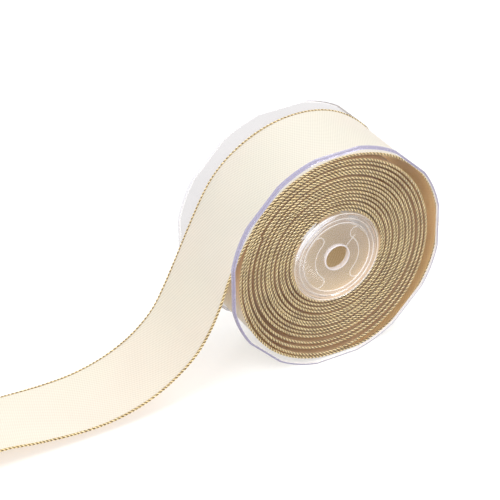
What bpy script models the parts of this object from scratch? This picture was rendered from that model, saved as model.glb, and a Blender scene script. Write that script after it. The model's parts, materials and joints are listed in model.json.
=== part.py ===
"""Ribbon spool: a clear spool in two halves, a wound ribbon with gold cord edges, and its loose end.

Metres, +Z up. The spool stands on z = 0 with its axle along Y, front half towards -Y. The loose end of the
ribbon leaves the roll on its -X side and runs along the table towards -X.
"""
import math

import bmesh
import bpy
import numpy as np

MM = 0.001

# Driving dimensions
RIM_RADIUS = 45.0 * MM            # round corners of the flanges
RIBBON_WIDTH = 38.0 * MM          # over both gold cords
GAP = 0.3 * MM                    # between pieces that touch
SEGMENTS = 64                     # round the spool, a multiple of 8
FLATS = 8                         # each flange has eight slight flats, one of them at the bottom

# Flanges
FLAT_HALF_ANGLE = math.radians(11.25)
APOTHEM = RIM_RADIUS * math.cos(FLAT_HALF_ANGLE)
DISC_IN = RIBBON_WIDTH / 2 + GAP  # inner face of a flange, from the middle plane
WALL = 0.6 * MM
DISC_OUT = DISC_IN + WALL
RIM_OUT = DISC_IN + 1.7 * MM
LIP_WIDTH = 0.9 * MM              # the rim's lip, which slopes back by LIP_FALL to its outer edge
LIP_FALL = 0.5 * MM

# Hub, seen from outside: hole with a collar, flat disc, three low ridges
HOLE_RADIUS = 4.8 * MM
COLLAR_RADIUS = 5.3 * MM
COLLAR_IN = DISC_IN - 0.9 * MM
COLLAR_OUT = DISC_OUT + 0.4 * MM
RIDGES = ((13.9 * MM, 14.25 * MM), (15.6 * MM, 15.95 * MM), (17.5 * MM, 18.0 * MM))
RIDGE_OUT = DISC_OUT + 0.35 * MM
FRONT_TUBE = (17.2 * MM, 18.0 * MM)
BACK_TUBE = (16.0 * MM, FRONT_TUBE[0] - GAP)
TUBE_END = DISC_IN - GAP

# Moulded beads on each hub disc
KIDNEY_RADII = (9.3 * MM, 13.5 * MM)
KIDNEY_HALF_ANGLE = math.radians(47.0)
BEAD_RADIUS = 0.3 * MM

# Ribbon
CLOTH = 0.5 * MM
CORD_RADIUS = 0.45 * MM
CORD_Y = RIBBON_WIDTH / 2 - CORD_RADIUS
CLOTH_Y = CORD_Y - CORD_RADIUS - GAP
ROLL_IN = FRONT_TUBE[1] + 3 * GAP
ROLL_OUT_FRONT = 35.0 * MM
ROLL_OUT_BACK = 33.1 * MM
TAPE_THICKNESS = 0.2 * MM
TAPE_HALF_WIDTH = 12.0 * MM
TAPE_ANGLE = math.radians(50.0)

# Loose turns on the roll: angle from +X towards +Z, then the radius of the front and of the back edge, in mm
LOOSE_TURNS = [
    (-1290, 35.8, 33.9), (-1245, 35.9, 34.1), (-1200, 36.5, 34.8), (-1170, 36.9, 35.3), (-1125, 36.8, 35.3),
    (-1080, 36.5, 35.1), (-1035, 36.2, 34.7), (-990, 36.1, 34.5), (-960, 36.5, 34.6), (-930, 37.1, 35.2),
    (-900, 37.4, 35.5), (-870, 37.9, 36.2), (-840, 38.6, 37.2), (-810, 38.9, 37.8), (-765, 38.7, 37.8),
    (-720, 38.2, 37.5), (-675, 37.8, 36.9), (-630, 37.6, 36.2), (-585, 38.1, 36.1), (-540, 38.6, 37.0),
    (-510, 39.2, 38.0), (-480, 41.0, 40.2), (-450, 41.9, 41.3), (-405, 40.9, 40.6), (-360, 39.9, 39.5),
    (-315, 39.3, 38.6), (-270, 39.0, 37.7), (-225, 39.2, 37.2), (-180, 40.0, 38.5), (-150, 41.0, 40.1),
    (-120, 42.5, 42.2), (-100, 43.2, 43.1), (-85, 43.6, 43.5), (-75, 44.7, 44.6), (-60, 45.5, 45.4),
    (-40, 45.7, 45.6), (-15, 45.4, 45.4), (10, 45.0, 45.0), (30, 44.3, 44.3), (45, 43.2, 43.4),
    (60, 42.1, 42.4), (75, 41.1, 41.0), (90, 40.5, 39.7), (120, 40.3, 38.3), (150, 40.5, 38.6),
]
# The stretch that leaves the roll: x and z of the front edge, then of the back edge, in mm from the axle
LEAVING = [
    (-39.6, 13.2, -37.4, 12.3), (-44.5, 3.6, -42.1, 3.0), (-48.6, -7.0, -46.7, -6.4),
    (-52.9, -15.5, -51.4, -15.6), (-58.6, -23.4, -56.9, -24.8), (-67.0, -30.3, -65.4, -32.7),
    (-78.2, -36.2, -77.2, -38.8), (-90.5, -39.4, -90.0, -42.0), (-104.0, -40.1, -103.8, -42.7),
    (-112.0, -39.5, -112.0, -42.4),
]
# The free end, from the place where it lifts off the table
FREE_END = [
    (-122.0, -38.3, -122.0, -41.8), (-137.4, -35.9, -137.4, -40.8), (-152.0, -37.0, -152.0, -41.0),
    (-168.0, -42.7, -168.0, -43.0),
]
LOOSE_STEP = 9.0                  # degrees between stations on the roll
STRIP_STEP = 4.0 * MM             # between stations on the free stretch
CUT = 0.5 * GAP                   # each side of the place where the free end lifts

RIGHT_REACH = 45.63 * MM          # how far the outermost turn bulges towards +X, past the rims
AXLE = np.array([(-FREE_END[-1][0] * MM - RIGHT_REACH) / 2, 0.0, APOTHEM])


def clear_scene():
    for item in list(bpy.data.objects):
        bpy.data.objects.remove(item, do_unlink=True)


def new_collection(name):
    made = bpy.data.collections.new(name)
    bpy.context.scene.collection.children.link(made)
    return made


def material(name, colour, roughness, metallic=0.0, alpha=1.0, transmission=0.0):
    made = bpy.data.materials.new(name)
    made.use_nodes = True
    shader = made.node_tree.nodes["Principled BSDF"]
    shader.inputs["Base Color"].default_value = (*colour, 1.0)
    shader.inputs["Roughness"].default_value = roughness
    shader.inputs["Metallic"].default_value = metallic
    shader.inputs["Alpha"].default_value = alpha
    shader.inputs["Transmission Weight"].default_value = transmission
    made.diffuse_color = (*colour, alpha)
    return made


def add_object(name, data, finish, collection, smooth_angle=30.0):
    made = bpy.data.objects.new(name, data)
    collection.objects.link(made)
    data.materials.append(finish)
    if isinstance(data, bpy.types.Mesh):
        data.shade_smooth()
        data.set_sharp_from_angle(angle=math.radians(smooth_angle))
    return made


def to_mesh(curve_object, collection):
    """Replace a curve object by its mesh, with the caps welded on."""
    bpy.context.view_layer.update()
    evaluated = curve_object.evaluated_get(bpy.context.evaluated_depsgraph_get())
    mesh = bpy.data.meshes.new_from_object(evaluated)
    shape = bmesh.new()
    shape.from_mesh(mesh)
    bmesh.ops.remove_doubles(shape, verts=shape.verts, dist=0.01 * MM)
    shape.to_mesh(mesh)
    shape.free()
    made = bpy.data.objects.new(curve_object.name + "_mesh", mesh)
    collection.objects.link(made)
    made.matrix_world = curve_object.matrix_world
    bpy.data.objects.remove(curve_object, do_unlink=True)
    return made


# Spool halves

def rim_shrink(angle):
    """How much a flange's rim radius falls short of RIM_RADIUS: 0 on a round corner, more on a flat."""
    pitch = 2 * math.pi / FLATS
    from_flat = (angle + pitch / 2) % pitch - pitch / 2
    return RIM_RADIUS - min(RIM_RADIUS, APOTHEM / math.cos(from_flat))


def half_profile(tube):
    """Section of one half: radius, distance from the middle plane, whether it follows the flats."""
    lip_in = RIM_RADIUS - LIP_WIDTH
    tube_in, tube_out = tube
    profile = [(HOLE_RADIUS, COLLAR_OUT, False), (COLLAR_RADIUS, COLLAR_OUT, False),
               (COLLAR_RADIUS, DISC_OUT, False)]
    for inner, outer in RIDGES:
        profile += [(inner, DISC_OUT, False), (inner, RIDGE_OUT, False),
                    (outer, RIDGE_OUT, False), (outer, DISC_OUT, False)]
    profile += [(lip_in, DISC_OUT, True), (lip_in, RIM_OUT, True), (RIM_RADIUS, RIM_OUT - LIP_FALL, True),
                (RIM_RADIUS, DISC_IN, True)]
    profile += [(tube_out, DISC_IN, False), (tube_out, -TUBE_END, False), (tube_in, -TUBE_END, False),
                (tube_in, DISC_IN, False), (COLLAR_RADIUS, DISC_IN, False), (COLLAR_RADIUS, COLLAR_IN, False),
                (HOLE_RADIUS, COLLAR_IN, False)]
    return profile


def loft_half(profile, side):
    """Loft the section round the axle; side is -1 for the front half and +1 for the back half."""
    shape = bmesh.new()
    rings = []
    for radius, out, follows_flats in profile:
        ring = []
        for step in range(SEGMENTS):
            angle = 2 * math.pi * step / SEGMENTS
            reach = radius - (rim_shrink(angle) if follows_flats else 0.0)
            ring.append(shape.verts.new((reach * math.cos(angle), side * out, reach * math.sin(angle))))
        rings.append(ring)
    for ring, after in zip(rings, rings[1:] + rings[:1]):
        for step in range(SEGMENTS):
            ahead = (step + 1) % SEGMENTS
            shape.faces.new((ring[step], ring[ahead], after[ahead], after[step]))
    bmesh.ops.recalc_face_normals(shape, faces=shape.faces)
    mesh = bpy.data.meshes.new("half")
    shape.to_mesh(mesh)
    shape.free()
    return mesh


def kidney_points(middle_angle):
    """Closed outline of one kidney: two arcs round the axle joined by round ends."""
    inner, outer = KIDNEY_RADII
    middle = (inner + outer) / 2
    end = (outer - inner) / 2
    points = []
    for start, finish, count, centre, radius in (
            (-1, 1, 10, None, outer), (0, 180, 5, 1, end), (1, -1, 6, None, inner), (180, 360, 5, -1, end)):
        for step in range(count):
            part = start + (finish - start) * step / count
            if centre is None:
                angle = middle_angle + part * KIDNEY_HALF_ANGLE
                points.append((radius * math.cos(angle), radius * math.sin(angle)))
            else:
                at = middle_angle + centre * KIDNEY_HALF_ANGLE
                turn = at + math.radians(part)
                points.append((middle * math.cos(at) + radius * math.cos(turn),
                               middle * math.sin(at) + radius * math.sin(turn)))
    return points


def kidney_bead(name, middle_angle, side, cutters):
    """A round bead that follows a kidney's outline, half sunk in the hub disc."""
    curve = bpy.data.curves.new(name, "CURVE")
    curve.dimensions = "3D"
    curve.bevel_depth = BEAD_RADIUS
    curve.bevel_resolution = 1
    points = kidney_points(middle_angle)
    spline = curve.splines.new("POLY")
    spline.points.add(len(points) - 1)
    for point, (x, z) in zip(spline.points, points):
        point.co = (x, side * DISC_OUT, z, 1.0)
    spline.use_cyclic_u = True
    made = bpy.data.objects.new(name, curve)
    cutters.objects.link(made)
    made = to_mesh(made, cutters)
    made.location = AXLE
    made.hide_render = True
    made.display_type = "WIRE"
    return made


def spool_half(name, tube, side, finish, collection, cutters):
    half = add_object(name, loft_half(half_profile(tube), side), finish, collection)
    half.location = AXLE
    for number, middle_angle in enumerate((0.0, math.pi)):
        bead = kidney_bead(f"{name}_kidney_{number}", middle_angle, side, cutters)
        union = half.modifiers.new(f"kidney_{number}", "BOOLEAN")
        union.operation = "UNION"
        union.object = bead
    return half


# Wound ribbon

def turned(name, section, finish, collection, closed=True, angle=2 * math.pi, steps=SEGMENTS):
    """Turn a section round the axle. Its points are radius and y, down the outer side first."""
    shape = bmesh.new()
    verts = [shape.verts.new((radius, 0.0, -y)) for radius, y in section]
    for vert, after in zip(verts, verts[1:]):
        shape.edges.new((vert, after))
    if closed:
        shape.edges.new((verts[-1], verts[0]))
    mesh = bpy.data.meshes.new(name)
    shape.to_mesh(mesh)
    shape.free()
    made = add_object(name, mesh, finish, collection)
    made.location = AXLE
    made.rotation_euler = (math.pi / 2, 0.0, 0.0)
    screw = made.modifiers.new("turn", "SCREW")
    screw.angle = angle
    screw.steps = steps
    screw.render_steps = steps
    screw.axis = "Z"
    screw.use_merge_vertices = closed
    screw.merge_threshold = 0.01 * MM
    return made


def roll_radius(y):
    """Outer radius of the tight roll, which is slightly conical."""
    share = (y + RIBBON_WIDTH / 2) / RIBBON_WIDTH
    return ROLL_OUT_FRONT + (ROLL_OUT_BACK - ROLL_OUT_FRONT) * share


def roll_section(low, high):
    return [(roll_radius(low), low), (roll_radius(high), high), (ROLL_IN, high), (ROLL_IN, low)]


def wound_roll(cloth, gold, collection):
    cord_inside = CORD_Y - CORD_RADIUS
    end = RIBBON_WIDTH / 2
    turned("wound_ribbon", roll_section(-CLOTH_Y, CLOTH_Y), cloth, collection)
    turned("wound_gold_edge_front", roll_section(-end, -cord_inside), gold, collection)
    turned("wound_gold_edge_back", roll_section(cord_inside, end), gold, collection)


def start_tape(finish, collection):
    """A curved strip of tape on the hub, turned through part of a circle and given its thickness."""
    middle = FRONT_TUBE[1] + GAP + TAPE_THICKNESS / 2
    line = [(middle, -TAPE_HALF_WIDTH), (middle, TAPE_HALF_WIDTH)]
    tape = turned("start_tape", line, finish, collection, closed=False, angle=TAPE_ANGLE, steps=8)
    solidify = tape.modifiers.new("tape", "SOLIDIFY")
    solidify.thickness = TAPE_THICKNESS
    solidify.offset = 0.0


# Loose ribbon and free end

def curve_through(knots, values, wanted):
    """Smooth cubic curve through values at knots, read at the wanted places."""
    knots = np.array(knots, dtype=float)
    values = np.array(values, dtype=float)
    slopes = np.gradient(values, knots, axis=0)
    read = []
    for place in wanted:
        low = min(max(int(np.searchsorted(knots, place)) - 1, 0), len(knots) - 2)
        span = knots[low + 1] - knots[low]
        t = (place - knots[low]) / span
        read.append((1 + 2 * t) * (1 - t) ** 2 * values[low] + t * (1 - t) ** 2 * span * slopes[low]
                    + t * t * (3 - 2 * t) * values[low + 1] + t * t * (t - 1) * span * slopes[low + 1])
    return np.array(read)


def on_the_roll(angle, front, back):
    turn = math.radians(angle)
    return (front * math.cos(turn), front * math.sin(turn), back * math.cos(turn), back * math.sin(turn))


def loose_stations():
    """Edge positions of the loose turns, as x and z of the front edge and of the back edge."""
    angles = [row[0] for row in LOOSE_TURNS]
    count = int(round((angles[-1] - angles[0]) / LOOSE_STEP)) + 1
    wanted = np.linspace(angles[0], angles[-1], count)
    radii = curve_through(angles, [row[1:] for row in LOOSE_TURNS], wanted)
    return [on_the_roll(angle, *pair) for angle, pair in zip(wanted, radii)]


def strip_stations():
    """All stations of the loose ribbon and of the free end, in metres from the axle."""
    turns = loose_stations()
    controls = np.array([turns[-3], turns[-2], turns[-1]] + LEAVING + FREE_END)
    middle = (controls[:, :2] + controls[:, 2:]) / 2
    along = np.concatenate([[0.0], np.cumsum(np.linalg.norm(np.diff(middle, axis=0), axis=1))])
    lift = along[2 + len(LEAVING)]
    step = STRIP_STEP / MM
    cut = CUT / MM
    loose = np.linspace(along[2], lift - cut, int((lift - along[2]) / step) + 1)[1:]
    free = np.linspace(lift + cut, along[-1], int((along[-1] - lift) / step) + 1)
    loose_part = np.vstack([turns, curve_through(along, controls, loose)])
    free_part = curve_through(along, controls, free)
    return loose_part * MM, free_part * MM


def edge_line(stations, y):
    """Points at one y on the strip whose edges are the stations."""
    share = (y + CORD_Y) / (2 * CORD_Y)
    line = stations[:, :2] * (1 - share) + stations[:, 2:] * share
    return [(x + AXLE[0], y, z + AXLE[2]) for x, z in line]


def ribbon_strip(name, stations, finish, collection):
    shape = bmesh.new()
    front = [shape.verts.new(point) for point in edge_line(stations, -CLOTH_Y)]
    back = [shape.verts.new(point) for point in edge_line(stations, CLOTH_Y)]
    for here in range(len(front) - 1):
        shape.faces.new((front[here], front[here + 1], back[here + 1], back[here]))
    mesh = bpy.data.meshes.new(name)
    shape.to_mesh(mesh)
    shape.free()
    made = add_object(name, mesh, finish, collection)
    solidify = made.modifiers.new("cloth", "SOLIDIFY")
    solidify.thickness = CLOTH
    solidify.offset = 0.0
    return made


def gold_cord(name, stations, y, finish, collection):
    curve = bpy.data.curves.new(name, "CURVE")
    curve.dimensions = "3D"
    curve.bevel_depth = CORD_RADIUS
    curve.bevel_resolution = 1
    curve.use_fill_caps = True
    points = edge_line(stations, y)
    spline = curve.splines.new("POLY")
    spline.points.add(len(points) - 1)
    for point, place in zip(spline.points, points):
        point.co = (*place, 1.0)
    return add_object(name, curve, finish, collection)


def edged_ribbon(prefix, stations, cloth, gold, collection):
    ribbon_strip(f"{prefix}_ribbon", stations, cloth, collection)
    gold_cord(f"{prefix}_gold_edge_front", stations, -CORD_Y, gold, collection)
    gold_cord(f"{prefix}_gold_edge_back", stations, CORD_Y, gold, collection)


def build():
    clear_scene()
    parts = new_collection("ribbon_spool")
    cutters = new_collection("cutters")
    clear = material("clear_plastic", (0.86, 0.84, 0.88), 0.12, alpha=0.35, transmission=0.9)
    cloth = material("cream_ribbon", (0.91, 0.85, 0.72), 0.7)
    gold = material("gold_cord", (0.62, 0.42, 0.18), 0.35, metallic=0.8)
    tape = material("clear_tape", (0.85, 0.84, 0.78), 0.3, alpha=0.5, transmission=0.6)

    spool_half("front_half", FRONT_TUBE, -1, clear, parts, cutters)
    spool_half("back_half", BACK_TUBE, 1, clear, parts, cutters)
    start_tape(tape, parts)
    wound_roll(cloth, gold, parts)
    loose, free = strip_stations()
    edged_ribbon("loose", loose, cloth, gold, parts)
    edged_ribbon("free_end", free, cloth, gold, parts)


build()
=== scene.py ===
"""Looks of the ribbon spool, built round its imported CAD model: clear halves, wound ribbon, gold cords."""
import json
import math

import bpy
import numpy as np
from mathutils import Matrix, Vector


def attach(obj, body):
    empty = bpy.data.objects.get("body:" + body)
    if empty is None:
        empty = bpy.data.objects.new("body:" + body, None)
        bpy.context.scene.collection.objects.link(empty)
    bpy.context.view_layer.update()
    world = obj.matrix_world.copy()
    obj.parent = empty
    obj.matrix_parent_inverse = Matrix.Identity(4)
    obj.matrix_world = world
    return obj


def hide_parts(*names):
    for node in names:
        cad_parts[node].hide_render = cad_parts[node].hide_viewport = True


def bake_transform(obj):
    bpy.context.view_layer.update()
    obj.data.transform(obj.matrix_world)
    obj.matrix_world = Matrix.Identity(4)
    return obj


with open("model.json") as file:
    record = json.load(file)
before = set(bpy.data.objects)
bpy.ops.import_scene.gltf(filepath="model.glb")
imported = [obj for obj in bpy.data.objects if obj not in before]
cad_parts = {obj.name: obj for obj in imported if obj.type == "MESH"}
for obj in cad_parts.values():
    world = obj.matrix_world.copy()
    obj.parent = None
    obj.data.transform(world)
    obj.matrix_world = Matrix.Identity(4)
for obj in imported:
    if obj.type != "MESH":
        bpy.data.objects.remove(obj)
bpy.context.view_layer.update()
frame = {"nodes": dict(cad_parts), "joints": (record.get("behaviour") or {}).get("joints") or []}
MM = 0.001
SEED = 7

# Places read from the frame
AXLE = np.array(next(j["pos_m"] for j in frame["joints"] if j["name"] == "spool_turn"))
APOTHEM = float(AXLE[2])

# Camera and studio
CAMERA_AZIMUTH, CAMERA_ELEVATION = math.radians(-31.2), math.radians(32.1)
CAMERA_DISTANCE = 0.90
LENS = 174.2
AIM_RIGHT, AIM_UP = -21.87 * MM, -6.51 * MM
FLOOR_GLOW = 0.52
FLOOR_REACH = 3.0

# Spool halves
FLAT_HALF_ANGLE = math.radians(11.25)
RIM_RADIUS = APOTHEM / math.cos(FLAT_HALF_ANGLE)
FLATS = 8
DISC_IN = 19.3 * MM
WALL = 0.6 * MM
DISC_OUT = DISC_IN + WALL
RIM_OUT = DISC_IN + 1.7 * MM
LIP_WIDTH, LIP_FALL = 0.9 * MM, 0.5 * MM
HOLE_RADIUS, COLLAR_RADIUS = 4.8 * MM, 5.3 * MM
COLLAR_IN, COLLAR_OUT = DISC_IN - 0.9 * MM, DISC_OUT + 0.4 * MM
RIDGES = ((13.9 * MM, 14.25 * MM), (15.6 * MM, 15.95 * MM), (17.5 * MM, 18.0 * MM))
RIDGE_OUT = DISC_OUT + 0.35 * MM
MILKY_OUT = 18.25 * MM
FRONT_TUBE, BACK_TUBE = (17.2 * MM, 18.0 * MM), (16.0 * MM, 16.9 * MM)
TUBE_END = 19.0 * MM
HALF_SEGMENTS = 480
KIDNEY_RADII = (9.3 * MM, 13.9 * MM)
KIDNEY_HALF_ANGLE = math.radians(47.0)
SPOKE_ANGLE, SPOKE_END = math.radians(44.0), 10.6 * MM
BEAD_WIDTH, BEAD_HEIGHT = 0.30 * MM, 0.20 * MM
EDGE_ROUNDING = 0.14 * MM
LONG_RUN = 4.0 * MM               # a straight run of the section is cut into pieces about this long
HUB_DISC_PIECES = 80              # but the hub disc's outer face, which carries the beads, into this many
ON_DISC = 1e-7                    # how close to the disc's outer face a point lies on it
SURFACES = ["disc", "hub", "ring", "collar", "lip", "wall", "tube"]

# Ribbon
CLOTH = 0.36 * MM
CORD_RADIUS = 0.58 * MM
CORD_FLATNESS = 0.6
FILAMENT_PITCH = 0.28 * MM
# painted shade in the cord's grooves, painted light on its crests (the gold's own colour, lightened) and pale
# painted glints
GOLD_PAINTED_GROOVE_SHADE, GOLD_LIT_CREST, GOLD_PAINTED_GLINT = (0.16, 0.10, 0.045), (0.85, 0.65, 0.31), (1.0, 0.93, 0.70)
CORD_Y = 18.3 * MM
CLOTH_Y = CORD_Y - 0.25 * MM
CORD_LAY = 3.0 * MM
CORD_SAMPLES = 12                 # along one lay of the cord
CORD_SIDES = 10
CORD_WAIST = 0.40                 # thickness of the cord between its two strands, as a share of the whole
TIGHT_TURNS = 11.4
TIGHT_IN = 18.68                  # mm from the axle, as in the tables below
TIGHT_OUT_FRONT, TIGHT_OUT_BACK = 34.9, 33.1
TIGHT_END = 150.0                 # degrees from +X towards +Z
TIGHT_STEP = 0.9                  # mm between samples on the outermost turn
CALM_TURNS = 0.8                  # the spacing is even for this many turns at each end
STAIR = 0.14                      # share of an inner turn in which the ribbon climbs to the next one
STAIR_FADE = 3.0                  # turns over which that climb evens out
LINING_TURNS = 1.5                # turns that show inside the hub

# Unevenness of the winding: waves per turn, and their sizes in mm for the spacing and the sideways shift
WAVE_RATES = [0.5, 1.27, 0.22, 2.13, 3.4, 5.3]
SPACING_WAVES = [0.07, 0.10, 0.12, 0.06, 0.03, 0.015]
SIDEWAYS_WAVES = [0.13, 0.11, 0.04, 0.07, 0.04, 0.03]

# The loose turns and the free stretch, as in the CAD: the route of the front and of the back edge, in mm
LOOSE_TURNS = [
    (-1290, 35.8, 33.9), (-1245, 35.9, 34.1), (-1200, 36.5, 34.8), (-1170, 36.9, 35.3), (-1125, 36.8, 35.3),
    (-1080, 36.5, 35.1), (-1035, 36.2, 34.7), (-990, 36.1, 34.5), (-960, 36.5, 34.6), (-930, 37.1, 35.2),
    (-900, 37.4, 35.5), (-870, 37.9, 36.2), (-840, 38.6, 37.2), (-810, 38.9, 37.8), (-765, 38.7, 37.8),
    (-720, 38.2, 37.5), (-675, 37.8, 36.9), (-630, 37.6, 36.2), (-585, 38.1, 36.1), (-540, 38.6, 37.0),
    (-510, 39.2, 38.0), (-480, 41.0, 40.2), (-450, 41.9, 41.3), (-405, 40.9, 40.6), (-360, 39.9, 39.5),
    (-315, 39.3, 38.6), (-270, 39.0, 37.7), (-225, 39.2, 37.2), (-180, 40.0, 38.5), (-150, 41.0, 40.1),
    (-120, 42.5, 42.2), (-100, 43.2, 43.1), (-85, 43.6, 43.5), (-75, 44.7, 44.6), (-60, 45.5, 45.4),
    (-40, 45.7, 45.6), (-15, 45.4, 45.4), (10, 45.0, 45.0), (30, 44.3, 44.3), (45, 43.2, 43.4),
    (60, 42.1, 42.4), (75, 41.1, 41.0), (90, 40.5, 39.7), (120, 40.3, 38.3), (150, 40.5, 38.6),
]
LEAVING = [
    (-39.6, 13.2, -37.4, 12.3), (-44.5, 3.6, -42.1, 3.0), (-48.6, -7.0, -46.7, -6.4),
    (-52.9, -15.5, -51.4, -15.6), (-58.6, -23.4, -56.9, -24.8), (-67.0, -30.3, -65.4, -32.7),
    (-78.2, -36.2, -77.2, -38.8), (-90.5, -39.4, -90.0, -42.0), (-104.0, -40.1, -103.8, -42.7),
    (-112.0, -39.5, -112.0, -42.4),
]
FREE_END = [
    (-122.0, -38.3, -122.0, -41.8), (-137.4, -35.9, -137.4, -40.8), (-152.0, -37.0, -152.0, -41.0),
    (-168.0, -42.7, -168.0, -43.0),
]

# Cloth: the light and the dark of each shade, and the places where the shades change
CREAM = (0.825, 0.793, 0.715), (0.635, 0.598, 0.525)
TAN = (1.0, 0.74, 0.40), (0.82, 0.56, 0.27)
# painted shade: a darker copy of the back's tan, for the inner face inside the hub
LINING_PAINTED_SHADE = (0.60, 0.46, 0.27), (0.46, 0.33, 0.17)
COOL = (0.965, 1.005, 0.985)      # the cooler, greener shade of the cream's slow patches
OUTERMOST_FROM = -200.0           # degrees: from here on, no other turn lies over the ribbon
UNCOVERING = 20 * MM              # the length over which the painted shade and painted glow of covered turns fade out there
ANGLE_STEP = 1.5                  # degrees between samples of the loose turns
WEAVE_PITCH = 1.15 * MM
PAINTED_SHADE_FROM, PAINTED_SHADE_FULL = 12.0 * MM, 17.0 * MM             # covered turns get browner towards their edges: painted shade in the gaps between turns
SELVEDGE_FROM, SELVEDGE_FULL = 17.55 * MM, 17.95 * MM
# the first is painted shade for the gaps between covered turns; the selvedge's brown is the ribbon's own
# colour
COVERED_PAINTED_SHADE, SELVEDGE_BROWN = (0.74, 0.53, 0.31), (0.50, 0.39, 0.23)
GAP_PAINTED_GLOW = (1.0, 0.72, 0.44)      # painted light: a warm glow on covered turns, to brighten the gaps between them


# Small helpers

def curve_through(knots, values, wanted):
    """Smooth cubic curve through values at knots, read at the wanted places."""
    knots = np.array(knots, dtype=float)
    values = np.array(values, dtype=float)
    wanted = np.array(wanted, dtype=float)
    slopes = np.gradient(values, knots, axis=0)
    low = np.clip(np.searchsorted(knots, wanted) - 1, 0, len(knots) - 2)
    span = (knots[low + 1] - knots[low])[:, None]
    t = ((wanted - knots[low])[:, None]) / span
    return ((1 + 2 * t) * (1 - t) ** 2 * values[low] + t * (1 - t) ** 2 * span * slopes[low]
            + t * t * (3 - 2 * t) * values[low + 1] + t * t * (t - 1) * span * slopes[low + 1])


def smooth(share):
    share = np.clip(share, 0, 1)
    return share * share * (3 - 2 * share)


def path_length(points):
    """Distance along a line of points, at each point."""
    steps = np.linalg.norm(np.diff(points, axis=0), axis=1)
    return np.concatenate([[0.0], np.cumsum(steps)])


def mesh_object(name, verts, faces, materials, face_slots=None):
    mesh = bpy.data.meshes.new(name)
    verts = np.asarray(verts, dtype=np.float32)
    faces = np.asarray(faces, dtype=np.int32)
    mesh.vertices.add(len(verts))
    mesh.vertices.foreach_set("co", verts.ravel())
    mesh.loops.add(faces.size)
    mesh.loops.foreach_set("vertex_index", faces.ravel())
    mesh.polygons.add(len(faces))
    mesh.polygons.foreach_set("loop_start", np.arange(0, faces.size, faces.shape[1], dtype=np.int32))
    for finish in materials:
        mesh.materials.append(finish)
    if face_slots is not None:
        mesh.polygons.foreach_set("material_index", np.asarray(face_slots, dtype=np.int32))
    mesh.update(calc_edges=True)
    mesh.validate()
    mesh.shade_smooth()
    made = bpy.data.objects.new(name, mesh)
    bpy.context.scene.collection.objects.link(made)
    return made


def point_attribute(item, name, values):
    made = item.data.attributes.new(name, "FLOAT_VECTOR", "POINT")
    made.data.foreach_set("vector", np.asarray(values, dtype=np.float32).ravel())


def ring_faces(rows, columns, closed_rows=False):
    """Quads of a grid of rows by columns whose columns close on themselves."""
    last = rows if closed_rows else rows - 1
    row, column = np.meshgrid(np.arange(last), np.arange(columns), indexing="ij")
    after = (row + 1) % rows
    ahead = (column + 1) % columns
    return np.stack([row * columns + column, after * columns + column,
                     after * columns + ahead, row * columns + ahead], axis=-1).reshape(-1, 4)


# Materials

class Nodes:
    """Short calls for building one material's nodes."""

    def __init__(self, name):
        self.material = bpy.data.materials.new(name)
        self.material.use_nodes = True
        self.tree = self.material.node_tree
        self.shader = self.tree.nodes["Principled BSDF"]

    def add(self, kind, **settings):
        node = self.tree.nodes.new(kind)
        for key, value in settings.items():
            setattr(node, key, value)
        return node

    def wire(self, source, target):
        """Feed a socket with a colour, a number, a node's first output or another socket."""
        if isinstance(source, tuple):
            target.default_value = (*source, 1.0)
        elif isinstance(source, (int, float)):
            target.default_value = source
        elif hasattr(source, "outputs"):
            self.tree.links.new(source.outputs[0], target)
        else:
            self.tree.links.new(source, target)

    def math(self, operation, first, second=0.0):
        node = self.add("ShaderNodeMath", operation=operation)
        self.wire(first, node.inputs[0])
        self.wire(second, node.inputs[1])
        return node.outputs[0]

    def mix(self, factor, first, second):
        node = self.add("ShaderNodeMix", data_type="RGBA")
        self.wire(factor, node.inputs["Factor"])
        self.wire(first, node.inputs[6])
        self.wire(second, node.inputs[7])
        return node.outputs[2]

    def noise(self, scale, detail=2.0):
        node = self.add("ShaderNodeTexNoise")
        node.inputs["Scale"].default_value = scale
        node.inputs["Detail"].default_value = detail
        self.wire(self.add("ShaderNodeTexCoord").outputs["Object"], node.inputs["Vector"])
        return node.outputs["Fac"]

    def spread(self, value, low, high, to_low=0.0, to_high=1.0):
        node = self.add("ShaderNodeMapRange")
        self.wire(value, node.inputs[0])
        for socket, number in zip(node.inputs[1:5], (low, high, to_low, to_high)):
            socket.default_value = number
        return node.outputs[0]

    def bump(self, height, distance, strength):
        node = self.add("ShaderNodeBump")
        node.inputs["Strength"].default_value = strength
        node.inputs["Distance"].default_value = distance
        self.wire(height, node.inputs["Height"])
        return node.outputs[0]

    def attribute(self, name):
        node = self.add("ShaderNodeAttribute", attribute_name=name)
        split = self.add("ShaderNodeSeparateXYZ")
        self.wire(node.outputs["Vector"], split.inputs[0])
        return split.outputs[0], split.outputs[1], split.outputs[2]

    def set(self, **values):
        for key, value in values.items():
            self.wire(value, self.shader.inputs[key.replace("_", " ")])


def times(colour, factors):
    return tuple(part * factor for part, factor in zip(colour, factors))


def weave_height(made, along, across_strip):
    """Height of the twill, 0 to 1: crosswise ribs cut by slanting floats."""
    turn = 2 * math.pi / WEAVE_PITCH
    rib = made.math("SINE", made.math("MULTIPLY", along, turn))
    slant = made.math("ADD", made.math("MULTIPLY", along, turn * 0.5),
                      made.math("MULTIPLY", across_strip, turn * 0.9))
    crossed = made.math("MULTIPLY", rib, made.math("SINE", slant))
    return made.math("ADD", made.math("MULTIPLY", crossed, 0.5), 0.5)


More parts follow.
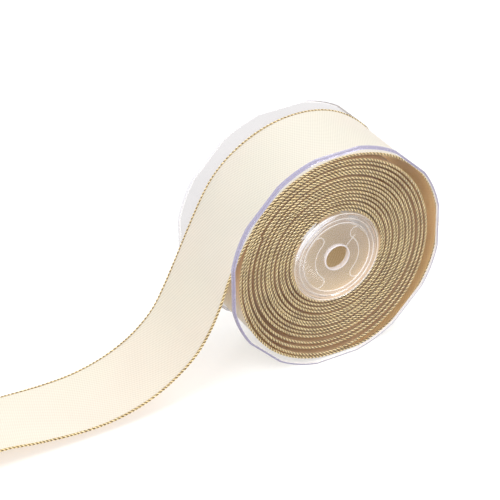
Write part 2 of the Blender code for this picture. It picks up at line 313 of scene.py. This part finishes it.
def cloth_material(name, light, dark, sheen, roughness, through, glow):
    """Woven ribbon: fuzzy twill of slowly changing colour, with a brown selvedge. Some light goes through.
    Covered turns get painted shade and a painted glow.
    """
    made = Nodes(name)
    along, across_strip, covered = made.attribute("strip")
    height = weave_height(made, along, across_strip)
    fuzz = made.noise(2600.0, 3.0)
    slow = made.noise(38.0)
    shade = made.math("ADD", made.math("MULTIPLY", height, 0.6), made.math("MULTIPLY", fuzz, 0.3))
    shade = made.math("ADD", shade, made.math("MULTIPLY", slow, 0.2))
    face = made.mix(made.spread(shade, 0.2, 0.9), dark, light)
    cool_face = made.mix(height, times(dark, COOL), times(light, COOL))
    face = made.mix(made.spread(made.noise(31.0, 1.0), 0.42, 0.62, 0.0, 0.5), face, cool_face)
    from_middle = made.math("ABSOLUTE", across_strip)
    # painted shade: covered turns turn brown towards their edges, where the gaps between turns are
    painted_gap_shade = made.math("MULTIPLY", made.spread(from_middle, PAINTED_SHADE_FROM, PAINTED_SHADE_FULL), covered)
    selvedge = made.spread(from_middle, SELVEDGE_FROM, SELVEDGE_FULL)
    colour = made.mix(selvedge, made.mix(painted_gap_shade, face, COVERED_PAINTED_SHADE), SELVEDGE_BROWN)
    # painted light: covered turns glow faintly and warmly, to brighten the gaps between them
    made.set(Base_Color=colour, Roughness=made.spread(height, 0.0, 1.0, roughness + 0.08, roughness - 0.06),
             Sheen_Weight=sheen, Sheen_Roughness=0.4, Specular_IOR_Level=0.25, Emission_Color=GAP_PAINTED_GLOW,
             Emission_Strength=made.math("MULTIPLY", covered, glow), Normal=made.bump(height, 0.05 * MM, 0.6))
    behind = made.add("ShaderNodeBsdfTranslucent")
    made.wire(colour, behind.inputs["Color"])
    joined = made.add("ShaderNodeMixShader")
    made.wire(through, joined.inputs[0])
    made.wire(made.shader, joined.inputs[1])
    made.wire(behind, joined.inputs[2])
    made.wire(joined, made.tree.nodes["Material Output"].inputs["Surface"])
    return made.material


def gold_material():
    """Twisted metallic yarn: bright on the strands and brown in the grooves, as painted light and painted
    shade, with painted glints and fine filaments.
    """
    made = Nodes("gold_cord")
    along, crest, around = made.attribute("cord")
    filaments = made.math("SINE", made.math("ADD", made.math("MULTIPLY", along, 2 * math.pi / FILAMENT_PITCH),
                                            made.math("MULTIPLY", around, 7.0)))
    grain_and_glints = made.noise(3200.0)
    slow = made.noise(160.0)
    uneven = made.math("MULTIPLY", made.math("SUBTRACT", slow, 0.5), 0.5)
    # painted light and shade: lighter on the strand crests, brown in the grooves between strands
    lit = made.spread(made.math("ADD", crest, uneven), 0.50, 0.90)
    body = made.mix(lit, GOLD_PAINTED_GROOVE_SHADE, GOLD_LIT_CREST)
    # painted glints: pale specks, weighted towards the lit crests; the same noise also roughens and bumps the
    # yarn
    painted_glints = made.mix(made.spread(grain_and_glints, 0.48, 0.64), body, GOLD_PAINTED_GLINT)
    relief = made.math("ADD", made.math("MULTIPLY", filaments, 0.5), grain_and_glints)
    # the painted glints are mixed in where the crests carry painted light
    made.set(Base_Color=made.mix(made.math("MULTIPLY", lit, 0.7), body, painted_glints), Metallic=0.6,
             Roughness=made.spread(grain_and_glints, 0.3, 0.7, 0.22, 0.42), Normal=made.bump(relief, 0.03 * MM, 0.6))
    return made.material


def clear_material(name, colour, roughness, transmission, ior, bead=0.0):
    """Clear moulded plastic with faint flow marks in its gloss, milkier along the moulded beads."""
    made = Nodes(name)
    flow = made.noise(70.0)
    scratches = made.noise(900.0)
    lighter = tuple(min(1.0, part * 1.03) for part in colour)
    uneven = made.spread(scratches, 0.3, 0.7, roughness, roughness + 0.03)
    made.set(Base_Color=made.mix(made.spread(flow, 0.3, 0.7), colour, lighter), IOR=ior, Roughness=uneven,
             Normal=made.bump(flow, 0.03 * MM, 0.2))
    if bead:
        lift, _, _ = made.attribute("mould")
        made.set(Transmission_Weight=made.spread(lift, 0.0, 0.8, transmission, transmission - bead))
    else:
        made.set(Transmission_Weight=transmission)
    return made.material


def floor_material():
    """White table: slightly uneven, with a little glow of its own, which keeps the shadows faint."""
    made = Nodes("floor")
    grain = made.noise(14.0)
    made.set(Base_Color=made.mix(made.spread(grain, 0.3, 0.7), (0.44, 0.44, 0.44), (0.47, 0.47, 0.47)),
             Roughness=0.75, Emission_Color=(1.0, 1.0, 1.0), Emission_Strength=FLOOR_GLOW)
    return made.material


# Spool halves

def rim_shrink(angle):
    """How much a flange's rim falls short of RIM_RADIUS: 0 on a round corner, more on a flat."""
    pitch = 2 * math.pi / FLATS
    from_flat = (angle + pitch / 2) % pitch - pitch / 2
    flat = APOTHEM / np.cos(from_flat)
    sharp = np.minimum(RIM_RADIUS, flat)
    return RIM_RADIUS - sharp


def half_section(tube):
    """Corners of one half's section: radius, distance from the middle plane, flats followed, surface kind."""
    lip_in = RIM_RADIUS - LIP_WIDTH
    tube_in, tube_out = tube
    corners = [(HOLE_RADIUS, COLLAR_OUT, 0, "collar"), (COLLAR_RADIUS, COLLAR_OUT, 0, "collar"),
               (COLLAR_RADIUS, DISC_OUT, 0, "hub")]
    for inner, outer in RIDGES:
        corners += [(inner, DISC_OUT, 0, "wall"), (inner, RIDGE_OUT, 0, "ring"),
                    (outer, RIDGE_OUT, 0, "wall"), (outer, DISC_OUT, 0, "ring")]
    corners += [(MILKY_OUT, DISC_OUT, 0, "disc"), (lip_in, DISC_OUT, 1, "wall"), (lip_in, RIM_OUT, 1, "lip"),
                (RIM_RADIUS, RIM_OUT - LIP_FALL, 1, "lip"), (RIM_RADIUS, DISC_OUT, 1, "lip"),
                (RIM_RADIUS, DISC_IN, 1, "disc"),
                (MILKY_OUT, DISC_IN, 0, "hub")]
    corners += [(tube_out, DISC_IN, 0, "tube"), (tube_out, -TUBE_END, 0, "tube"),
                (tube_in, -TUBE_END, 0, "tube"), (tube_in, DISC_IN, 0, "hub")]
    corners += [(COLLAR_RADIUS, DISC_IN, 0, "tube"), (COLLAR_RADIUS, COLLAR_IN, 0, "tube"),
                (HOLE_RADIUS, COLLAR_IN, 0, "collar")]
    return corners


def rounded_section(corners, steps=3):
    """The same section with its corners rounded and long runs cut into short ones."""
    section = []
    count = len(corners)
    for here in range(count):
        before, corner, after = corners[here - 1], corners[here], corners[(here + 1) % count]
        at = np.array(corner[:2])
        to_before, to_after = np.array(before[:2]) - at, np.array(after[:2]) - at
        before_run, after_run = np.linalg.norm(to_before), np.linalg.norm(to_after)
        sine = abs(float(np.cross(to_before, to_after))) / (before_run * after_run)
        room = min(EDGE_ROUNDING, 0.4 * before_run, 0.4 * after_run)
        last = at
        if sine > 0.1:
            first = at + to_before / before_run * room
            last = at + to_after / after_run * room
            for step in range(steps + 1):
                t = step / steps
                point = (1 - t) ** 2 * first + 2 * t * (1 - t) * at + t * t * last
                section.append((*point, corner[2], corner[3] if step * 2 >= steps else before[3]))
        else:
            section.append((*at, corner[2], corner[3]))
        following = np.array(after[:2])
        parts = run_pieces(corner, np.linalg.norm(following - at))
        for step in range(1, parts):
            point = last + (following - last) * step / parts
            flag = corner[2] + (after[2] - corner[2]) * step / parts
            section.append((*point, flag, corner[3]))
    return section


def run_pieces(corner, run):
    """How many pieces the straight run from a corner is cut into: many on the hub disc's outer face."""
    if corner[0] == COLLAR_RADIUS and corner[1] == DISC_OUT:
        return HUB_DISC_PIECES
    return max(1, int(run / LONG_RUN))


def kidney_distance(x, z):
    """Distance from a point of the hub disc to the nearest kidney outline."""
    inner, outer = KIDNEY_RADII
    middle, half = (inner + outer) / 2, (outer - inner) / 2
    nearest = np.full_like(x, 1.0)
    for centre in (0.0, math.pi):
        angle = np.arctan2(z, x) - centre
        angle = (angle + math.pi) % (2 * math.pi) - math.pi
        clamped = np.clip(angle, -KIDNEY_HALF_ANGLE, KIDNEY_HALF_ANGLE)
        spine_x, spine_z = middle * np.cos(clamped + centre), middle * np.sin(clamped + centre)
        nearest = np.minimum(nearest, np.abs(np.hypot(x - spine_x, z - spine_z) - half))
    return nearest


def spoke_distance(x, z):
    """Distance to the short straight bead that runs from the collar to the right-hand kidney."""
    toward = (math.cos(SPOKE_ANGLE), math.sin(SPOKE_ANGLE))
    reach = np.clip(x * toward[0] + z * toward[1], COLLAR_RADIUS, SPOKE_END)
    return np.hypot(x - reach * toward[0], z - reach * toward[1])


def spool_half(name, tube, side, finishes):
    """One clear half, its section turned round the axle, with the beads raised on its hub disc."""
    section = rounded_section(half_section(tube))
    radius = np.array([row[0] for row in section])
    out = np.array([row[1] for row in section])
    follows = np.array([row[2] for row in section], dtype=float)
    slots = np.array([SURFACES.index(row[3]) for row in section])
    angle = np.linspace(0, 2 * math.pi, HALF_SEGMENTS, endpoint=False)
    reach = radius[:, None] - follows[:, None] * rim_shrink(angle)[None, :]
    x, z = reach * np.cos(angle), reach * np.sin(angle)
    level = np.repeat(out[:, None], HALF_SEGMENTS, axis=1)
    on_disc = (np.abs(level - DISC_OUT) < ON_DISC) & (radius[:, None] < RIDGES[0][0])
    beads = np.minimum(kidney_distance(x, z), spoke_distance(x, z) if side < 0 else 1.0)
    lift = BEAD_HEIGHT * np.clip(1 - (beads / BEAD_WIDTH) ** 2, 0, 1) ** 1.5
    level = level + np.where(on_disc, lift, 0.0)
    verts = np.stack([x, side * level, z], axis=-1).reshape(-1, 3) + AXLE
    faces = ring_faces(len(section), HALF_SEGMENTS, closed_rows=True)
    if side > 0:
        faces = faces[:, ::-1]
    half = mesh_object(name, verts, faces, finishes, np.repeat(slots, HALF_SEGMENTS))
    marks = np.stack([np.where(on_disc, lift / BEAD_HEIGHT, 0.0), x, z], axis=-1)
    point_attribute(half, "mould", marks.reshape(-1, 3))
    half.visible_shadow = False       # what lies behind is lit straight through, once
    half.visible_diffuse = False
    half.visible_glossy = False
    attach(half, "spool")
    return half


# Ribbon strips: each is two edge lines in the side plane, front and back

def wander(turns, phases, strengths):
    """Slow seeded wandering of the winding, in mm, as a function of the turn count."""
    total = np.zeros_like(turns)
    for phase, strength, rate in zip(phases, strengths, WAVE_RATES):
        total += strength * np.cos(2 * math.pi * rate * turns + phase)
    return total


def tight_edges():
    """The tight turns: a slightly conical spiral with uneven spacing, from the hub outwards."""
    draw = np.random.default_rng(SEED)
    samples = int(TIGHT_TURNS * 2 * math.pi * TIGHT_OUT_FRONT / TIGHT_STEP)
    turns = np.linspace(0, 1, samples) * TIGHT_TURNS
    angle = math.radians(TIGHT_END) + 2 * math.pi * (turns - TIGHT_TURNS)
    calm = np.clip(np.minimum(turns, TIGHT_TURNS - turns) / CALM_TURNS, 0, 1)
    uneven = wander(turns, draw.uniform(0, 2 * math.pi, 6), SPACING_WAVES) * calm
    sideways = wander(turns, draw.uniform(0, 2 * math.pi, 6), SIDEWAYS_WAVES)
    stair = np.floor(turns) + smooth((turns % 1.0 - (1 - STAIR)) / STAIR)
    follows = np.exp(-turns / STAIR_FADE)
    share = (turns * (1 - follows) + stair * follows) / TIGHT_TURNS
    front = TIGHT_IN + (TIGHT_OUT_FRONT - TIGHT_IN) * share + uneven
    back = TIGHT_IN + (TIGHT_OUT_BACK - TIGHT_IN) * share + 0.8 * uneven
    return np.stack([front * np.cos(angle), front * np.sin(angle),
                     back * np.cos(angle), back * np.sin(angle), sideways], axis=-1) * MM


def loose_angles():
    """Angles in degrees at which the loose turns are sampled, both ends included."""
    return np.arange(LOOSE_TURNS[0][0], LOOSE_TURNS[-1][0] + 0.1, ANGLE_STEP)


def loose_edges():
    """The loose turns and the free stretch down to the table and out along it."""
    draw = np.random.default_rng(SEED + 3)
    wanted = loose_angles()
    radii = curve_through([row[0] for row in LOOSE_TURNS], [row[1:] for row in LOOSE_TURNS], wanted)
    turn = np.radians(wanted)
    turns = np.stack([radii[:, 0] * np.cos(turn), radii[:, 0] * np.sin(turn),
                      radii[:, 1] * np.cos(turn), radii[:, 1] * np.sin(turn)], axis=-1)
    controls = np.array([turns[-13], turns[-7], turns[-1]] + LEAVING + FREE_END)
    middle = (controls[:, :2] + controls[:, 2:]) / 2
    along = path_length(middle)
    free = np.append(np.arange(along[2], along[-1], 1.0)[1:], along[-1])
    lines = np.vstack([turns, curve_through(along, controls, free)])
    fade = np.clip(-wanted / 180, 0, 1)
    sideways = wander(wanted / 360, draw.uniform(0, 2 * math.pi, 6), SIDEWAYS_WAVES) * fade
    sideways = np.concatenate([sideways, np.zeros(len(free))])
    return np.column_stack([lines, sideways]) * MM


def evenly(edges, step):
    """Edge lines resampled at even steps of the middle line."""
    middle = (edges[:, :2] + edges[:, 2:4]) / 2
    along = path_length(middle)
    wanted = np.linspace(0, along[-1], int(along[-1] / step) + 1)
    return np.stack([np.interp(wanted, along, column) for column in edges.T], axis=-1), wanted


def across(edges, y):
    """Points at one place across the strip."""
    share = (y + CORD_Y) / (2 * CORD_Y)
    line = edges[:, :2] * (1 - share) + edges[:, 2:4] * share
    return np.stack([line[:, 0], y + edges[:, 4], line[:, 1]], axis=-1) + AXLE


def strip_normals(edges):
    """Outward unit normals of the strip in the side plane, along its middle line."""
    middle = (edges[:, :2] + edges[:, 2:4]) / 2
    tangent = np.gradient(middle, axis=0)
    tangent /= np.linalg.norm(tangent, axis=1)[:, None]
    return np.stack([tangent[:, 1], np.zeros(len(middle)), -tangent[:, 0]], axis=-1)


def ripples(along, ys, ripple):
    """Small seeded waves of the cloth off its even surface, for each place across the strip."""
    draw = np.random.default_rng(SEED + 1)
    waves = [(draw.uniform(14, 60) * MM, draw.uniform(-1, 1), draw.uniform(0, 6.28)) for _ in range(7)]
    return [sum(np.cos(2 * math.pi * along / length + slant * y / (6 * MM) + phase)
                for length, slant, phase in waves) * ripple / len(waves) for y in ys]


def cloth_strip(name, edges, step, columns, finishes, ripple, covered, lining=0.0):
    """A closed thin sheet: outer face, inner face and a narrow wall all round.

    Up to the length covered, other turns lie over the strip. The inner face up to the length lining shows
    inside the hub and has its own finish, a darker copy of the back's finish: painted shade.
    """
    edges, along = evenly(edges, step)
    normal = strip_normals(edges)
    ys = np.linspace(-CLOTH_Y, CLOTH_Y, columns)
    rows = len(edges)
    waves = ripples(along, ys, ripple)
    lines = [across(edges, y) + normal * wave[:, None] for y, wave in zip(ys, waves)]
    outer = [line + normal * CLOTH / 2 for line in lines]
    inner = [line - normal * CLOTH / 2 for line in reversed(lines)]
    verts = np.stack(outer + inner, axis=1)
    under = 1 - smooth((along - covered) / UNCOVERING)
    strip = np.stack([np.stack([along, np.full(rows, y), under], axis=-1) for y in [*ys, *ys[::-1]]], axis=1)
    count = 2 * columns
    slots = np.tile(np.array([0] * columns + [1] * (columns - 1) + [0]), rows - 1).reshape(rows - 1, count)
    # slot 2: the darker copy of the back's finish, painted shade inside the hub
    slots[:int(lining / step), columns:-1] = 2
    ends = []
    for base, flip in ((0, False), ((rows - 1) * count, True)):
        for column in range(columns - 1):
            quad = [base + column, base + column + 1, base + count - 2 - column, base + count - 1 - column]
            ends.append(quad[::-1] if flip else quad)
    faces = np.vstack([ring_faces(rows, count), np.array(ends)])
    face_slots = np.concatenate([slots.ravel(), np.zeros(len(ends), dtype=int)])
    made = mesh_object(name, verts.reshape(-1, 3), faces, finishes, face_slots)
    point_attribute(made, "strip", strip.reshape(-1, 3))
    made.data.set_sharp_from_angle(angle=math.radians(50))
    return made, float(along[-1])


def gold_rope(name, edges, y, finish, phase=0.0):
    """Two strands twisted together, swept along one edge of the ribbon."""
    edges, along = evenly(edges, CORD_LAY / CORD_SAMPLES)
    centre = across(edges, y)
    tangent = np.gradient(centre, axis=0)
    tangent /= np.linalg.norm(tangent, axis=1)[:, None]
    side = np.array([0.0, 1.0, 0.0])
    up = np.cross(tangent, side)
    up /= np.linalg.norm(up, axis=1)[:, None]
    draw = np.random.default_rng(SEED + 2)
    drift = np.interp(along, np.linspace(0, along[-1], 200), draw.normal(0, 0.5, 200))
    twist = 2 * math.pi * along / CORD_LAY + phase + drift
    around = np.linspace(0, 2 * math.pi, CORD_SIDES, endpoint=False)
    body = around[None, :] + twist[:, None]
    lobe = np.abs(np.cos(around))[None, :] * np.ones((len(along), 1))
    size = CORD_RADIUS * (CORD_WAIST + (1 - CORD_WAIST) * lobe)
    verts = (centre[:, None, :] + side[None, None, :] * (CORD_FLATNESS * size * np.cos(body))[..., None]
             + up[:, None, :] * (size * np.sin(body))[..., None])
    made = mesh_object(name, verts.reshape(-1, 3), ring_faces(len(along), CORD_SIDES), [finish])
    cord = np.stack([np.repeat(along[:, None], CORD_SIDES, axis=1), lobe, body], axis=-1)
    point_attribute(made, "cord", cord.reshape(-1, 3))
    return made


def wound_ribbon(cloth, gold):
    edges = tight_edges()
    lining = LINING_TURNS * 2 * math.pi * TIGHT_IN * MM
    sheet, length = cloth_strip("wound_cloth", edges, 1.2 * MM, 9, cloth, 0.0, 1000.0, lining)
    cords = [gold_rope("wound_cord_front", edges, -CORD_Y, gold),
             gold_rope("wound_cord_back", edges, CORD_Y, gold, 1.1)]
    for piece in [sheet, *cords]:
        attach(piece, "spool")
    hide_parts("wound_ribbon")
    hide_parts("wound_gold_edge_front")
    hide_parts("wound_gold_edge_back")


def loose_ribbon(cloth, gold):
    edges = loose_edges()
    outermost = path_length(edges[:, :2])[sum(1 for angle in loose_angles() if angle < OUTERMOST_FROM)]
    sheet, length = cloth_strip("loose_cloth", edges, 1.0 * MM, 25, cloth, 0.12 * MM, outermost)
    cords = [gold_rope("loose_cord_front", edges, -CORD_Y, gold, 0.6),
             gold_rope("loose_cord_back", edges, CORD_Y, gold, 2.0)]
    for piece in [sheet, *cords]:
        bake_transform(piece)
    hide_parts("loose_ribbon", "free_end_ribbon")
    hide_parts("loose_gold_edge_front", "free_end_gold_edge_front")
    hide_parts("loose_gold_edge_back", "free_end_gold_edge_back")


# Studio

def add_camera():
    azimuth, elevation = CAMERA_AZIMUTH, CAMERA_ELEVATION
    back = Vector((math.sin(azimuth) * math.cos(elevation), -math.cos(azimuth) * math.cos(elevation),
                   math.sin(elevation)))
    right = Vector((math.cos(azimuth), math.sin(azimuth), 0.0))
    up = back.cross(right)
    camera = bpy.data.objects.new("camera", bpy.data.cameras.new("camera"))
    bpy.context.scene.collection.objects.link(camera)
    camera.data.lens = LENS
    camera.data.sensor_width = 36.0
    camera.location = Vector(AXLE) + back * CAMERA_DISTANCE
    target = Vector(AXLE) + right * AIM_RIGHT + up * AIM_UP
    back = (camera.location - target).normalized()
    right = up.cross(back).normalized()
    camera.rotation_euler = Matrix((right, back.cross(right), back)).transposed().to_euler()
    camera.data.clip_end = 20.0
    bpy.context.scene.camera = camera


def area_light(name, place, size, power):
    light = bpy.data.lights.new(name, "AREA")
    light.energy = power
    light.size = size
    made = bpy.data.objects.new(name, light)
    bpy.context.scene.collection.objects.link(made)
    made.location = place
    made.rotation_euler = (Vector(AXLE) - Vector(place)).to_track_quat("-Z", "Y").to_euler()


def studio():
    world = bpy.data.worlds.new("studio")
    bpy.context.scene.world = world
    world.use_nodes = True
    world.node_tree.nodes["Background"].inputs[0].default_value = (1.0, 1.0, 1.0, 1.0)
    world.node_tree.nodes["Background"].inputs[1].default_value = 1.0
    area_light("key", (-0.35, -0.25, 0.95), 0.35, 5.0)
    area_light("fill", (0.5, -0.7, 0.5), 0.5, 2.0)
    area_light("back", (0.35, 0.8, 0.45), 0.4, 3.0)
    corners = [(-FLOOR_REACH, -FLOOR_REACH, 0), (FLOOR_REACH, -FLOOR_REACH, 0),
               (FLOOR_REACH, FLOOR_REACH, 0), (-FLOOR_REACH, FLOOR_REACH, 0)]
    floor = mesh_object("floor", corners, [(0, 1, 2, 3)], [floor_material()])
    scene = bpy.context.scene
    scene.view_settings.view_transform = "Standard"
    scene.cycles.transmission_bounces = 24
    scene.cycles.transparent_max_bounces = 24
    scene.cycles.max_bounces = 24
    scene.cycles.diffuse_bounces = 6


def spool_halves():
    """Both clear halves, each with its finishes in the order of SURFACES, and the tape on the hub."""
    disc = clear_material("clear_disc", (0.92, 0.915, 0.92), 0.02, 1.0, 1.2)
    grey = clear_material("clear_back_disc", (0.66, 0.645, 0.65), 0.04, 1.0, 1.2)
    hub = clear_material("clear_hub", (0.92, 0.91, 0.91), 0.04, 0.93, 1.15, 0.3)
    ring = clear_material("clear_ring", (0.74, 0.72, 0.76), 0.06, 0.86, 1.2)
    collar = clear_material("clear_collar", (0.80, 0.78, 0.83), 0.1, 0.45, 1.4)
    lip = clear_material("lilac_lip", (0.30, 0.28, 0.40), 0.25, 0.25, 1.3)
    pale_lip = clear_material("grey_lip", (0.62, 0.61, 0.65), 0.25, 0.4, 1.3)
    wall = clear_material("clear_wall", (0.96, 0.95, 0.94), 0.1, 0.3, 1.3)
    tube = clear_material("clear_tube", (0.99, 0.99, 0.99), 0.02, 1.0, 1.08)
    front = spool_half("spool_front", FRONT_TUBE, -1, [disc, hub, ring, collar, lip, wall, tube])
    back = spool_half("spool_back", BACK_TUBE, 1, [grey, hub, ring, collar, pale_lip, wall, tube])
    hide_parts("front_half")
    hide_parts("back_half")
    tape = frame["nodes"]["start_tape"].data.materials
    tape.clear()
    tape.append(clear_material("tape", (0.9, 0.89, 0.82), 0.3, 0.7, 1.4))


def build():
    add_camera()
    # the last number of each finish is the painted glow of covered turns
    cream = cloth_material("ribbon_face", *CREAM, 0.15, 0.62, 0.25, 0.03)
    tan = cloth_material("ribbon_back", *TAN, 0.1, 0.55, 0.3, 0.03)
    # painted shade: a darker copy of the back's tan, for the inner face inside the hub
    lining = cloth_material("ribbon_lining_painted_shade", *LINING_PAINTED_SHADE, 0.1, 0.55, 0.0, 0.01)
    gold = gold_material()
    spool_halves()
    wound_ribbon([cream, tan, lining], gold)
    loose_ribbon([cream, tan], gold)
    studio()


build()
